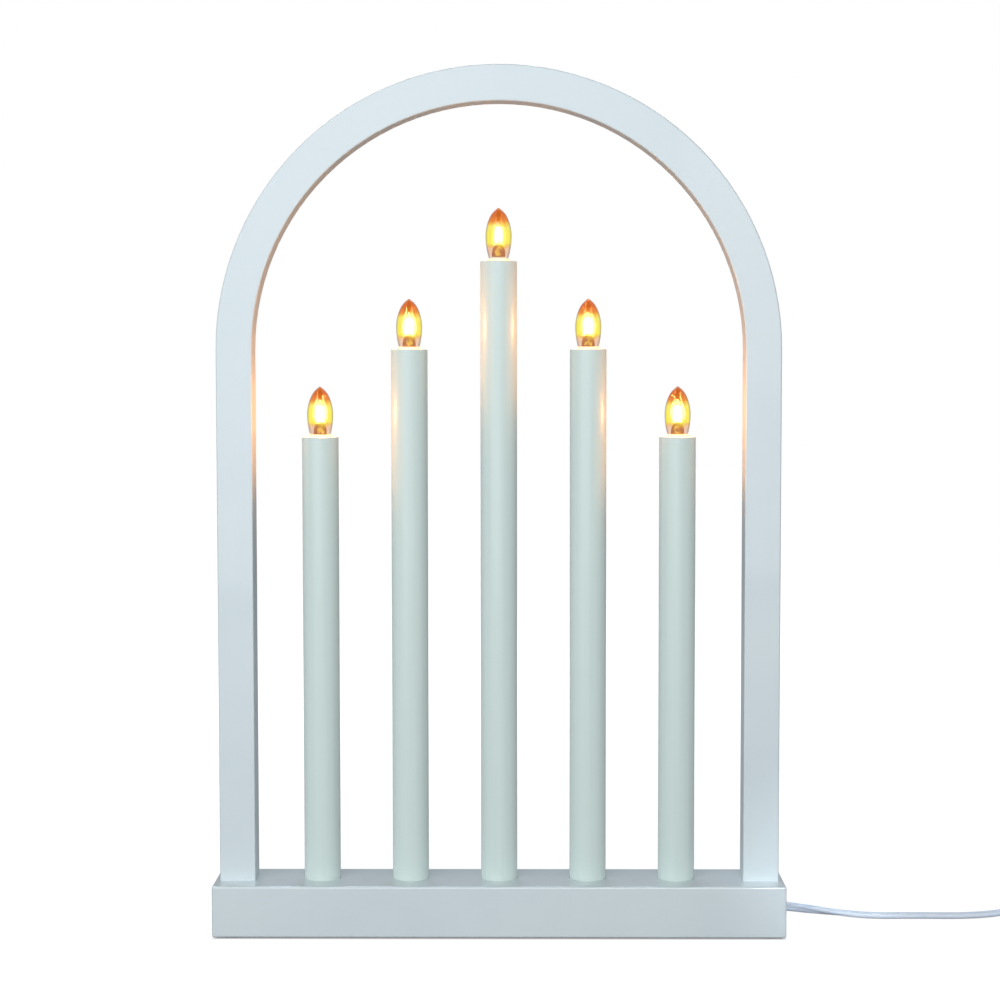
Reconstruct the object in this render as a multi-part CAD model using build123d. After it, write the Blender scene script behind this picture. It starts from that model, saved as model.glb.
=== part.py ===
from build123d import *
import math
import os

# Electric Advent candle arch: a long base block, a one-piece arch board standing on it, five
# candle tubes with small screw lamps, and a flat mains flex with an in-line switch and a plug.
# Millimetres. X runs to the right along the base, Y to the back and Z up, and the origin lies
# on the floor under the middle of the base.

# Base block
base_width = 363.0
base_depth = 52.0
base_top = 33.6
base_edge = 1.2
foot_thickness = 1.0
foot_radius = 6.0
foot_end_inset = 11.5
foot_side_inset = 9.0
setback = 1.7

# Wiring channel in the underside, and its cover
channel_length = 298.0
channel_width = 30.0
channel_depth = 14.0
cover_thickness = 2.5
cover_rim = 5.0
cover_end_rim = 8.0
cover_gap = 0.2
cover_screw_radius = 1.2
cover_screw_head = 2.4
cover_screw_length = 9.0

# Arch board
overall_height = 550.0
arch_inset = 3.3
arch_face = 22.7
arch_thickness = 22.0
arch_edge = 0.9
dowel_radius = 3.0
dowel_length = 30.0
dowel_spread = 6.5
leg_screw_radius = 2.0
leg_screw_head = 4.0
leg_screw_length = 50.0
leg_screw_sink = 8.0

# Candle tubes
tube_count = 5
tube_radius = 11.6
tube_wall = 1.6
tube_lid = 2.0
tube_edge = 0.5
tube_socket_depth = 10.0
tube_fit = 0.15
end_gap = 30.45
crown_clearance = 65.8
tube_step = 55.4
wire_hole_radius = 6.0

# Lamp holder, pushed up inside the tube: heights are counted from the tube's mouth
holder_fit = 0.1
holder_lip_rise = 1.4
holder_neck_radius = 7.2
holder_lip_wall = 0.4
holder_depth = 24.0
holder_seat_depth = 3.8
holder_seat_radius = 5.7
shell_radius = 5.3
shell_wall = 0.35
shell_length = 11.5
shell_fit = 0.1
contact_radius = 2.2
contact_thickness = 0.5
contact_pocket_radius = 4.6
tag_width = 2.0
tag_thickness = 0.4

# Screw lamp, small Edison cap
thread_pitch = 1.814
middle_lamp_turns_out = 1
thread_rings = 5
cap_crest_radius = 4.75
cap_root_radius = 4.3
cap_bore_radius = 3.95
shell_crest_radius = 4.6
bulb_rise = 32.0
bulb_radius = 8.2
bulb_widest_below_tip = 18.0
bulb_shoulder_radius = 5.6
bulb_shoulder_below_tip = 6.3
bulb_pip_radius = 0.8
bulb_mouth_radius = 6.5
bulb_glass_wall = 0.55
pip_stub_length = 5.5
pip_stub_radius = 1.1
filament_low = 9.5
filament_high = 19.5
filament_spread = 1.7
filament_radius = 0.45
lead_radius = 0.25
stem_radius = 1.6
stem_height = 6.5

# Flex and wires
flex_size = 5.8
wire_radius = 0.75
wire_bend = 2.0
core_radius = 0.9
core_spread = 1.4
wire_level = 5.3
return_level = 5.3
wire_spread = 4.0
wire_row = 13.0
exit_level = 10.5
relief_length = 22.0
relief_root = 5.5
relief_tip = 3.9
relief_neck = 4.4
relief_flange = 6.0
relief_flange_thickness = 2.0
bore_fit = 0.1

# Cable block and terminal block in the channel
block_width = 24.0
block_length = 7.0
block_floor = 6.6
block_screw_radius = 1.5
block_screw_head = 2.8
block_screw_length = 15.0
pinch_screw_radius = 1.4
terminal_width = 17.0
terminal_length = 9.0
terminal_pole = 8.0
terminal_bore = 1.7
terminal_screw_hole = 1.6

# In-line rocker switch on the flex
switch_start = 346.0
switch_row = 30.0
switch_length = 60.0
switch_width = 24.0
switch_height = 14.5
switch_split = 7.0
switch_wall = 1.8
switch_entry_level = 5.0
switch_edge = 2.0
rocker_length = 18.0
rocker_width = 9.0
rocker_gap = 0.5
rocker_tilt = 8.0
rocker_pivot_drop = 3.0
rocker_pin_radius = 1.0
switch_screw_radius = 1.1
switch_screw_head = 2.2

# Coil of the flex that is put away, and its tie
coil_centre_x = 493.0
coil_centre_y = 28.0
coil_turns_in = 6
coil_inner = 24.4
coil_pitch = 6.4
coil_layer_rise = 6.3
coil_lift = 0.7
tie_width = 8.0
tie_thickness = 0.6
tie_gap = 0.5
tie_angle = 200.0

# Flat two-pin plug
plug_length = 34.0
plug_width = 32.0
plug_nose_width = 26.0
plug_height = 13.7
plug_sleeve_length = 18.0
plug_sleeve_root = 5.0
plug_sleeve_tip = 3.9
plug_edge = 2.0
pin_radius = 2.0
pin_root_radius = 1.5
pin_length = 19.0
pin_spacing = 18.6
pin_root = 8.0
pin_tip_round = 0.9

# What follows from the sizes above
base_under = foot_thickness
channel_roof = base_under + cover_thickness + channel_depth
cover_top = base_under + cover_thickness
cover_length = channel_length + 2 * cover_end_rim
cover_width = channel_width + 2 * cover_rim
arch_outer = base_width / 2 - arch_inset
arch_inner = arch_outer - arch_face
leg_middle = arch_outer - arch_face / 2
crown_centre = overall_height - arch_outer
middle_lamp_lift = middle_lamp_turns_out * thread_pitch
tallest_mouth = overall_height - arch_face - crown_clearance - bulb_rise - middle_lamp_lift
tube_bore = tube_radius - tube_wall
tube_spacing = (arch_inner - end_gap - tube_radius) / 2
tube_foot = base_top - tube_socket_depth
holder_radius = tube_bore - holder_fit
shell_top = -holder_seat_depth
shell_foot = shell_top - shell_length
contact_top = shell_foot - 1.8
contact_foot = contact_top - contact_thickness
holder_tag_end = 2.0 - holder_depth
bulb_widest = bulb_rise - bulb_widest_below_tip
cable_x = 1.5 * tube_spacing
wall_inside = channel_width / 2
block_back = wall_inside - relief_flange_thickness - 1.0
block_front = block_back - block_length
sheath_end = block_front - 1.5
terminal_back = sheath_end - 6.0
terminal_front = terminal_back - terminal_length
relief_mouth = base_depth / 2 + relief_length
coil_outer = coil_inner + coil_pitch / 2 * (coil_turns_in + 1)
coil_low = coil_lift + flex_size / 2
coil_high = coil_low + coil_layer_rise
switch_end = switch_start + switch_length
plug_level = plug_height / 2
plug_row = coil_centre_y - coil_outer + 9.0
plug_entry = coil_centre_x - 54.0
plug_sleeve_end = plug_entry - plug_sleeve_length
plug_nose = plug_sleeve_end - plug_length
rocker_pivot = switch_height - rocker_pivot_drop
switch_middle = switch_start + switch_length / 2


def tube_places():
    """Middle and mouth height of each candle tube, from left to right."""
    middle = (tube_count - 1) / 2
    for index in range(tube_count):
        steps = abs(index - middle)
        yield index + 1, (index - middle) * tube_spacing, tallest_mouth - steps * tube_step


def upright(radius, bottom, top, x=0.0, y=0.0):
    """A cylinder standing between two heights."""
    foot = (Align.CENTER, Align.CENTER, Align.MIN)
    return Pos(x, y, bottom) * Cylinder(radius, top - bottom, align=foot)


def cone(bottom_radius, top_radius, bottom, top, x=0.0, y=0.0):
    """A cone standing between two heights."""
    foot = (Align.CENTER, Align.CENTER, Align.MIN)
    return Pos(x, y, bottom) * Cone(bottom_radius, top_radius, top - bottom, align=foot)


def block(x, y, z):
    """A box between two limits on each axis."""
    middle = Pos((x[0] + x[1]) / 2, (y[0] + y[1]) / 2, (z[0] + z[1]) / 2)
    return middle * Box(x[1] - x[0], y[1] - y[0], z[1] - z[0])


def rod(start, end, radius):
    """A straight round bar between two points."""
    path = Line(start, end)
    return sweep(Plane(origin=path @ 0, z_dir=path % 0) * Circle(radius), path=path)


def turned(points):
    """A solid of revolution about Z from its half profile of radius and height pairs."""
    outline = Polyline(*[(radius, 0, height) for radius, height in points], close=True)
    return revolve(make_face(outline), Axis.Z)


def bent(points, radius, bends):
    """A round bar along straight runs joined by tangent arcs."""
    path = FilletPolyline(*points, radius=bends)
    return sweep(Plane(origin=path @ 0, z_dir=path % 0) * Circle(radius), path=path)


def pieces(solids):
    """Separate solids kept apart in one node."""
    return Compound(children=[part for shape in solids for part in shape.solids()])


# Base
def leg_places():
    return [-leg_middle, leg_middle]


def dowel_places():
    return [leg + side for leg in leg_places() for side in (-dowel_spread, dowel_spread)]


def cover_screw_places():
    end = channel_length / 2 + cover_end_rim / 2
    side = channel_width / 2 + cover_rim / 2
    quarter = channel_length / 4
    corners = [(x, y) for x in (-quarter, quarter) for y in (-side, side)]
    return [(-end, 0.0), (end, 0.0)] + corners


def make_base():
    body = block((-base_width / 2, base_width / 2), (-base_depth / 2, base_depth / 2),
                 (base_under, base_top))
    body = fillet(body.edges(), base_edge)
    body -= block((-cover_length / 2, cover_length / 2), (-cover_width / 2, cover_width / 2),
                  (base_under, cover_top))
    body -= block((-channel_length / 2, channel_length / 2), (-wall_inside, wall_inside),
                  (cover_top, channel_roof))
    for number, x, mouth in tube_places():
        body -= upright(tube_radius + tube_fit, tube_foot, base_top, x, setback)
        body -= upright(wire_hole_radius, channel_roof, tube_foot, x, setback)
    for x in leg_places():
        body -= upright(leg_screw_head + 0.3, base_under, base_under + leg_screw_sink, x, setback)
        body -= upright(leg_screw_radius, base_under + leg_screw_sink, base_top, x, setback)
        body -= cone(leg_screw_head, leg_screw_radius, base_under + leg_screw_sink,
                     base_under + leg_screw_sink + leg_screw_head - leg_screw_radius, x, setback)
    for x in dowel_places():
        body -= upright(dowel_radius, base_top - dowel_length / 2, base_top, x, setback)
    for x, y in cover_screw_places():
        body -= upright(cover_screw_radius, cover_top, base_under + cover_screw_length, x, y)
    for x in block_screw_places():
        body -= upright(block_screw_radius, channel_roof, block_floor + block_screw_length, x,
                        block_middle())
    body -= rod((cable_x, wall_inside, exit_level), (cable_x, base_depth / 2, exit_level),
                relief_neck + bore_fit)
    return body


def make_cover():
    half_length = cover_length / 2 - cover_gap
    half_width = cover_width / 2 - cover_gap
    body = block((-half_length, half_length), (-half_width, half_width), (base_under, cover_top))
    for x, y in cover_screw_places():
        body -= cone(cover_screw_head, cover_screw_radius, base_under,
                     base_under + cover_screw_head - cover_screw_radius, x, y)
        body -= upright(cover_screw_radius, base_under, cover_top, x, y)
    return body


def countersunk(x, y, bottom, head, radius, length):
    """A countersunk wood screw, head down, with its slot."""
    sink = head - radius
    body = cone(head, radius, bottom, bottom + sink, x, y)
    body += upright(radius, bottom + sink, bottom + length - radius, x, y)
    body += cone(radius, radius * 0.2, bottom + length - radius, bottom + length, x, y)
    body -= block((x - head, x + head), (y - head * 0.12, y + head * 0.12),
                  (bottom, bottom + sink * 0.4))
    return body


def make_cover_screws():
    return pieces([countersunk(x, y, base_under, cover_screw_head, cover_screw_radius,
                               cover_screw_length) for x, y in cover_screw_places()])


def make_feet():
    x = base_width / 2 - foot_end_inset
    y = base_depth / 2 - foot_side_inset
    pads = []
    for side_x in (-x, x):
        for side_y in (-y, y):
            pads.append(upright(foot_radius, 0, foot_thickness, side_x, side_y))
    return pieces(pads)


# Arch
def make_arch():
    outer = upright_half_ring(arch_outer, arch_inner)
    left = block((-arch_outer, -arch_inner), (-arch_thickness / 2, arch_thickness / 2),
                 (base_top, crown_centre))
    right = block((arch_inner, arch_outer), (-arch_thickness / 2, arch_thickness / 2),
                  (base_top, crown_centre))
    body = outer + left + right
    long_edges = [edge for edge in body.edges()
                  if abs(abs(edge.center().Y) - arch_thickness / 2) < 0.01
                  and edge.center().Z > base_top + 1.0]
    body = fillet(long_edges, arch_edge)
    body = Pos(0, setback, 0) * body
    for x in leg_places():
        body -= upright(leg_screw_radius, base_top, base_under + leg_screw_sink + leg_screw_length,
                        x, setback)
    for x in dowel_places():
        body -= upright(dowel_radius, base_top, base_top + dowel_length / 2, x, setback)
    return body


def upright_half_ring(outer, inner):
    """The crown: half a flat ring standing on its two ends."""
    half = arch_thickness / 2
    ring = rod((0, -half, crown_centre), (0, half, crown_centre), outer)
    ring -= rod((0, -half, crown_centre), (0, half, crown_centre), inner)
    return ring - block((-outer, outer), (-half, half), (crown_centre - outer, crown_centre))


def make_dowels():
    half = dowel_length / 2
    return pieces([upright(dowel_radius, base_top - half, base_top + half, x, setback)
                   for x in dowel_places()])


def make_leg_screws():
    return pieces([countersunk(x, setback, base_under + leg_screw_sink, leg_screw_head,
                               leg_screw_radius, leg_screw_length) for x in leg_places()])


# Candle tubes and lamp holders
def make_tube(x, mouth):
    body = upright(tube_radius, tube_foot, mouth, x, setback)
    rim = [edge for edge in body.edges() if abs(edge.center().Z - mouth) < 0.01]
    body = fillet(rim, tube_edge)
    body -= upright(tube_bore, tube_foot, mouth - tube_lid, x, setback)
    body -= upright(holder_neck_radius + holder_fit, mouth - tube_lid, mouth, x, setback)
    return body


def make_holder():
    lip = holder_lip_rise
    body = upright(holder_radius, -holder_depth, -tube_lid) + upright(holder_neck_radius, -tube_lid, lip)
    body -= cone(holder_seat_radius, holder_neck_radius - holder_lip_wall, shell_top, lip)
    body -= upright(shell_radius + shell_fit, shell_foot, shell_top)
    body -= upright(contact_pocket_radius, contact_foot - 0.4, shell_foot)
    slot = tag_width / 2 + 0.1
    reach = shell_radius + shell_fit
    body -= block((-reach, -reach + 1.2), (-slot, slot), (holder_tag_end, shell_foot))
    body -= block((0, wire_spread + 0.8), (-slot, slot), (holder_tag_end, contact_foot + 1.0))
    for side in (-wire_spread, wire_spread):
        body -= upright(wire_radius + 0.15, -holder_depth, holder_tag_end + 0.2, side)
    return body


def thread_wall(crest, root, top, step):
    """Zigzag of a rolled thread, drawn as rings from the top down."""
    wall = []
    for ring in range(thread_rings):
        middle = top - step - ring * thread_pitch
        wall += [(root, middle + 0.5), (crest, middle + 0.1), (crest, middle - 0.1), (root, middle - 0.5)]
    return wall


def make_shell():
    inside = shell_radius - shell_wall
    profile = [(shell_radius, shell_foot), (shell_radius, shell_top), (inside, shell_top)]
    profile += thread_wall(shell_crest_radius, inside, shell_top, 2.2)
    profile += [(inside, shell_foot + shell_wall), (contact_radius + 0.7, shell_foot + shell_wall),
                (contact_radius + 0.7, shell_foot)]
    body = turned(profile)
    tag_outside = -shell_radius + 0.1
    body += block((tag_outside, tag_outside + tag_thickness), (-tag_width / 2, tag_width / 2),
                  (holder_tag_end + 0.2, shell_foot + shell_wall))
    return body


def make_contact():
    arm = wire_spread + tag_thickness / 2
    body = upright(contact_radius, contact_foot, contact_top)
    body += block((0, arm), (-tag_width / 2, tag_width / 2), (contact_foot, contact_top))
    body += block((arm - tag_thickness, arm), (-tag_width / 2, tag_width / 2),
                  (holder_tag_end + 0.3, contact_top))
    return body


# Screw lamps
def envelope(inset):
    """The lamp's outline, moved inwards by a wall, closed on its axis down to the cap's mouth."""
    widest = (bulb_radius - inset, 0, bulb_widest)
    lean = math.radians(25)
    shoulder = (bulb_shoulder_radius - inset * math.cos(lean), 0,
                bulb_rise - bulb_shoulder_below_tip - inset * math.sin(lean))
    pip = (max(bulb_pip_radius - inset, 0.2), 0, bulb_rise - 0.6 - inset * 1.2)
    mouth = (bulb_mouth_radius - inset, 0, holder_lip_rise)
    neck = (cap_bore_radius - inset, 0, shell_top + 0.35)
    upper = TangentArc(widest, shoulder, tangent=(0, 0, 1))
    tip = TangentArc(shoulder, pip, tangent=upper % 1)
    lower = TangentArc(widest, mouth, tangent=(0, 0, -1))
    throat = TangentArc(mouth, neck, tangent=lower % 1)
    foot = (neck[0], 0, shell_top - 1.8)
    top = (0, 0, bulb_rise - inset * 1.2)
    close = Polyline(neck, foot, (0, 0, foot[2]), top, pip)
    return revolve(make_face(Wire([upper, tip, lower, throat] + list(close.edges()))), Axis.Z)


def make_glass():
    shell = envelope(0) - envelope(bulb_glass_wall)
    stub_top = bulb_rise - 1.2
    shell += cone(pip_stub_radius, pip_stub_radius * 0.6, stub_top - pip_stub_length, stub_top)
    return shell


def make_cap():
    top = shell_top + 0.3
    foot = shell_foot + 1.9
    profile = [(cap_bore_radius, top), (cap_crest_radius, top), (cap_crest_radius, top - 0.3),
               (cap_root_radius, top - 0.7)]
    profile += thread_wall(cap_crest_radius, cap_root_radius, shell_top, 2.2 - thread_pitch / 2)
    profile += [(cap_root_radius, foot), (contact_radius, foot - 1.4), (contact_radius, contact_top + 1.0),
                (contact_radius - 0.6, contact_top + 0.2), (0, contact_top + 0.2), (0, foot),
                (cap_bore_radius, foot)]
    return turned(profile)


def make_stem():
    foot = shell_top - 1.8
    inside = cap_bore_radius - bulb_glass_wall
    body = turned([(0, foot), (inside, foot), (inside, foot + 0.6), (stem_radius, foot + 2.6),
                   (stem_radius, stem_height - 2.0), (0, stem_height - 2.0)])
    body += block((-filament_spread - 0.6, filament_spread + 0.6), (-0.8, 0.8),
                  (stem_height - 2.4, stem_height))
    return body


def make_filament():
    low = filament_low
    high = filament_high
    spread = filament_spread
    body = bent([(-spread, 0, low), (-spread, 0, high), (spread, 0, high), (spread, 0, low)],
                filament_radius, spread * 0.95)
    for side in (-spread, spread):
        body += upright(lead_radius, stem_height, low + 0.2, side)
    return body


# Flex anchorage and wires in the channel
def block_middle():
    return (block_back + block_front) / 2


def block_screw_places():
    reach = block_width / 2 - 4.0
    return [cable_x - reach, cable_x + reach]


def make_cable_block():
    body = block((cable_x - block_width / 2, cable_x + block_width / 2), (block_front, block_back),
                 (block_floor, channel_roof))
    body -= rod((cable_x, block_front, exit_level), (cable_x, block_back, exit_level), flex_size / 2)
    for x in block_screw_places():
        body -= upright(block_screw_radius, block_floor, channel_roof, x, block_middle())
        body -= cone(block_screw_head, block_screw_radius, block_floor,
                     block_floor + block_screw_head - block_screw_radius, x, block_middle())
    body -= upright(pinch_screw_radius, block_floor, exit_level - flex_size / 2 + 0.5, cable_x,
                    block_middle())
    return body


def make_block_screws():
    screws = [countersunk(x, block_middle(), block_floor, block_screw_head, block_screw_radius,
                          block_screw_length) for x in block_screw_places()]
    screws.append(upright(pinch_screw_radius, block_floor - 1.6, exit_level - flex_size / 2 - 0.05,
                          cable_x, block_middle()))
    return pieces(screws)


def terminal_places():
    return [cable_x - terminal_pole / 2, cable_x + terminal_pole / 2]


def make_terminal_block():
    body = block((cable_x - terminal_width / 2, cable_x + terminal_width / 2),
                 (terminal_front, terminal_back), (block_floor, channel_roof))
    for x in terminal_places():
        body -= rod((x, terminal_front, exit_level), (x, terminal_back, exit_level), terminal_bore)
        for y in (terminal_front + 2.4, terminal_back - 2.4):
            body -= upright(terminal_screw_hole, block_floor, exit_level, x, y)
    return body


def make_wires():
    """Wires from lamp to lamp in series, the two ends to the terminals, and the flex's two cores."""
    places = list(tube_places())
    tops = [mouth + holder_tag_end - 0.1 for number, x, mouth in places]
    middles = [x for number, x, mouth in places]
    wires = []
    for first in range(tube_count - 1):
        left = middles[first] + wire_spread
        right = middles[first + 1] - wire_spread
        wires.append(bent([(left, setback, tops[first]), (left, setback, wire_level),
                           (right, setback, wire_level), (right, setback, tops[first + 1])],
                          wire_radius, wire_bend))
    near, far = terminal_places()
    inside = terminal_front + 2.0
    last = middles[-1] + wire_spread
    start = middles[0] - wire_spread
    wires.append(bent([(far, inside, exit_level), (far, -wire_row, exit_level),
                       (last, -wire_row, exit_level), (last, setback, exit_level),
                       (last, setback, tops[-1])], wire_radius, wire_bend))
    wires.append(bent([(near, inside, exit_level), (near, -wire_row, exit_level),
                       (near, -wire_row, return_level), (start, -wire_row, return_level),
                       (start, setback, return_level), (start, setback, tops[0])],
                      wire_radius, wire_bend))
    for side, pole in ((-core_spread, near), (core_spread, far)):
        wires.append(bent([(cable_x + side, sheath_end, exit_level),
                           (cable_x + side, sheath_end - 1.8, exit_level),
                           (pole, terminal_back + 1.2, exit_level),
                           (pole, terminal_back - 3.0, exit_level)], core_radius, 1.2))
    return pieces(wires)


def make_inner_flex():
    return rod((cable_x, sheath_end, exit_level), (cable_x, relief_mouth, exit_level), flex_size / 2)


def make_relief():
    wall = base_depth / 2
    body = turned([(flex_size / 2, -relief_flange_thickness - (wall - wall_inside)),
                   (relief_flange, -relief_flange_thickness - (wall - wall_inside)),
                   (relief_flange, -(wall - wall_inside)), (relief_neck, -(wall - wall_inside)),
                   (relief_neck, 0), (relief_root, 0), (relief_root, 2.5),
                   (relief_tip, relief_length), (flex_size / 2, relief_length)])
    return Pos(cable_x, wall, exit_level) * Rot(-90, 0, 0) * body


# Flex outside the base
def lead_route():
    """From the strain relief behind the base round to its right end and along the table."""
    rest = flex_size / 2
    return [(cable_x, relief_mouth, exit_level), (cable_x, relief_mouth + 17.4, exit_level),
            (93.8, 80.5, 7.8), (108.8, 89.2, 4.4), (126.2, 89.2, rest), (146.0, 82.0, rest),
            (168.0, 70.3, rest), (192.0, 55.5, rest), (217.0, 38.4, rest), (242.0, 28.6, rest),
            (272.0, 30.4, rest), (300.0, 29.2, rest), (switch_start - 25.0, switch_row - 0.4, 3.4),
            (switch_start - 12.5, switch_row, switch_entry_level),
            (switch_start, switch_row, switch_entry_level)]


def link_route():
    """From the switch in an S-bend on the table to the coil's far side."""
    end_y = coil_centre_y + coil_outer
    return [(switch_end, switch_row, switch_entry_level),
            (switch_end + 16.0, switch_row, switch_entry_level),
            (switch_end + 31.0, switch_row + 8.0, 4.1),
            (coil_start_x() - 31.0, end_y - 8.0, coil_low),
            (coil_start_x() - 16.0, end_y, coil_low), (coil_start_x(), end_y, coil_low)]


def tail_route():
    """From the coil's near side, on the upper layer, down to the plug."""
    end_y = coil_centre_y - coil_outer
    return [(coil_start_x(), end_y, coil_high), (coil_start_x() - 14.0, end_y, coil_high),
            (plug_entry + 14.0, plug_row, plug_level), (plug_entry, plug_row, plug_level)]


def coil_start_x():
    return coil_centre_x - flex_size


def route_radii(points):
    """Each corner's arc: 0.45 of the shorter run divided by the tangent of half the turn."""
    radii = []
    for before, at, after in zip(points, points[1:], points[2:]):
        run_in = Vector(*at) - Vector(*before)
        run_out = Vector(*after) - Vector(*at)
        half_turn = math.radians(run_in.get_angle(run_out) / 2)
        radii.append(0.45 * min(run_in.length, run_out.length) / math.tan(half_turn))
    return radii


def make_flex(name, points):
    radii = route_radii(points)
    path = FilletPolyline(*points, radius=radii)
    tube = sweep(Plane(origin=path @ 0, z_dir=path % 0) * Circle(flex_size / 2), path=path)
    section = math.pi * (flex_size / 2) ** 2
    print(name, "length", round(path.length, 1), "volume ratio",
          round(tube.volume / (section * path.length), 4), "radii", [round(r, 1) for r in radii])
    return tube


def half_turn_biarc(start, end, heading):
    """Two tangent arcs that turn a heading round by half a turn between two points."""
    start = Vector(*start)
    end = Vector(*end)
    heading = Vector(*heading)
    middle = (start + end) * 0.5 + heading * ((end - start).length / 2)
    first = TangentArc(start, middle, tangent=heading)
    second = TangentArc(middle, end, tangent=first % 1)
    return [first, second]


def coil_radii():
    """Radius at the end of each half turn, and whether it lies on the upper layer."""
    radii = [(coil_outer - coil_pitch / 2 * step, 0) for step in range(coil_turns_in + 1)]
    radii.append((coil_inner, 1))
    radii += [(coil_inner + coil_pitch + coil_pitch / 2 * step, 1) for step in range(coil_turns_in)]
    return radii


def coil_path():
    """Straight end, half turns spiralling in, a climbing half turn, half turns out, straight end."""
    level = (coil_low, coil_high)
    marks = []
    for step, (radius, layer) in enumerate(coil_radii()):
        side = 1 if step % 2 == 0 else -1
        marks.append((coil_centre_x, coil_centre_y + side * radius, level[layer]))
    edges = [Line((coil_start_x(),) + marks[0][1:], marks[0])]
    for step, (start, end) in enumerate(zip(marks, marks[1:])):
        side = 1 if step % 2 == 0 else -1
        edges += half_turn_biarc(start, end, (side, 0, 0))
    edges.append(Line(marks[-1], (coil_start_x(),) + marks[-1][1:]))
    return Wire([edge for part in edges for edge in part.edges()])


def least_gap(path, steps=1600):
    """Least gap of a wound tube to itself, on points along its middle line."""
    spots = [path.position_at(step / steps) for step in range(steps + 1)]
    span = path.length / steps
    skip = int(3 * flex_size / span)
    least = None
    for first, one in enumerate(spots):
        for other in spots[first + skip:]:
            gap = (one.X - other.X) ** 2 + (one.Y - other.Y) ** 2 + (one.Z - other.Z) ** 2
            if least is None or gap < least:
                least = gap
    return math.sqrt(least) - flex_size


def make_coil():
    path = coil_path()
    tube = sweep(Plane(origin=path @ 0, z_dir=path % 0) * Circle(flex_size / 2), path=path)
    section = math.pi * (flex_size / 2) ** 2
    print("flex_coil length", round(path.length, 1), "volume ratio",
          round(tube.volume / (section * path.length), 4), "least gap", round(least_gap(path), 2))
    return tube


def make_tie():
    reach_in = coil_inner - flex_size / 2 - tie_gap - coil_pitch / 2
    reach_out = coil_outer + flex_size / 2 + tie_gap + coil_pitch / 4
    top = coil_high + flex_size / 2 + tie_gap
    half = tie_width / 2
    band = block((reach_in - tie_thickness, reach_out + tie_thickness), (-half, half),
                 (0, top + tie_thickness))
    corners = [edge for edge in band.edges() if abs(edge.center().Y) < 0.01]
    band = fillet(corners, 2.2)
    hole = block((reach_in, reach_out), (-half, half), (tie_thickness, top))
    corners = [edge for edge in hole.edges() if abs(edge.center().Y) < 0.01]
    band -= fillet(corners, 1.6)
    return Pos(coil_centre_x, coil_centre_y, 0) * Rot(0, 0, tie_angle) * band


# In-line switch
def switch_block(bottom, top):
    half = switch_width / 2
    body = block((switch_start, switch_end), (switch_row - half, switch_row + half), (bottom, top))
    uprights = [edge for edge in body.edges()
                if abs((edge @ 0).X - (edge @ 1).X) < 0.01 and abs((edge @ 0).Y - (edge @ 1).Y) < 0.01]
    return fillet(uprights, switch_width * 0.3)


def switch_room(bottom, top):
    inset = 7.0
    half = switch_width / 2 - switch_wall
    body = block((switch_start + inset, switch_end - inset), (switch_row - half, switch_row + half),
                 (bottom, top))
    return body - upright_pair(2.6, bottom, top)


def switch_screw_places():
    return [switch_middle - switch_length / 2 + 12.0, switch_middle + switch_length / 2 - 12.0]


def upright_pair(radius, bottom, top):
    pair = Part()
    for x in switch_screw_places():
        pair += upright(radius, bottom, top, x, switch_row)
    return pair


def make_switch_base():
    body = switch_block(0, switch_split)
    lower = [edge for edge in body.edges() if abs(edge.center().Z) < 0.01]
    body = fillet(lower, switch_edge * 0.5)
    body -= switch_room(switch_wall, switch_split)
    body -= upright_pair(switch_screw_radius, 0, switch_split)
    body -= upright_pair(switch_screw_head, 0, 1.3)
    return body


def make_switch_cover():
    body = switch_block(switch_split, switch_height)
    upper = [edge for edge in body.edges() if abs(edge.center().Z - switch_height) < 0.01]
    body = fillet(upper, switch_edge)
    body -= switch_room(switch_split, switch_height - switch_wall)
    half_length = rocker_length / 2 + rocker_gap
    half_width = rocker_width / 2 + rocker_gap
    body -= block((switch_middle - half_length, switch_middle + half_length),
                  (switch_row - half_width, switch_row + half_width), (switch_split, switch_height))
    body -= upright_pair(switch_screw_radius, switch_split, switch_height - switch_wall - 1.5)
    seat = switch_width / 2 - switch_wall
    for side in (-1, 1):
        inner = switch_row + side * half_width
        outer = switch_row + side * seat
        post = block((switch_middle - 2.6, switch_middle + 2.6), (min(inner, outer), max(inner, outer)),
                     (rocker_pivot - 2.6, switch_height - switch_wall))
        body += post
    pin_reach = rocker_width / 2 + 2.4
    body -= rod((switch_middle, switch_row - pin_reach, rocker_pivot),
                (switch_middle, switch_row + pin_reach, rocker_pivot), rocker_pin_radius + 0.06)
    return body


def make_rocker():
    """A shallow V on top, turned about its two stub pins to the switched-on side."""
    half = rocker_length / 2
    proud = 2.2
    rise = math.tan(math.radians(rocker_tilt)) * half
    top = switch_height - rocker_pivot
    outline = Polyline((-half, 0, top + rise + proud), (0, 0, top + proud), (half, 0, top + rise + proud),
                       (half * 0.86, 0, -1.2), (-half * 0.86, 0, -1.2), close=True)
    face = make_face(outline)
    body = extrude(face, rocker_width / 2, dir=(0, 1, 0), both=True)
    body += rod((0, -rocker_width / 2 - 2.0, 0), (0, rocker_width / 2 + 2.0, 0), rocker_pin_radius)
    body = Rot(0, rocker_tilt, 0) * body
    return Pos(switch_middle, switch_row, rocker_pivot) * body


def make_switch_screws():
    tip = switch_height - switch_wall - 1.8
    screws = []
    for x in switch_screw_places():
        body = upright(switch_screw_head - 0.1, 0.3, 1.3, x, switch_row)
        body += upright(switch_screw_radius, 1.3, tip, x, switch_row)
        body -= block((x - 1.6, x + 1.6), (switch_row - 0.3, switch_row + 0.3), (0.3, 0.8))
        screws.append(body)
    return pieces(screws)


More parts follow.
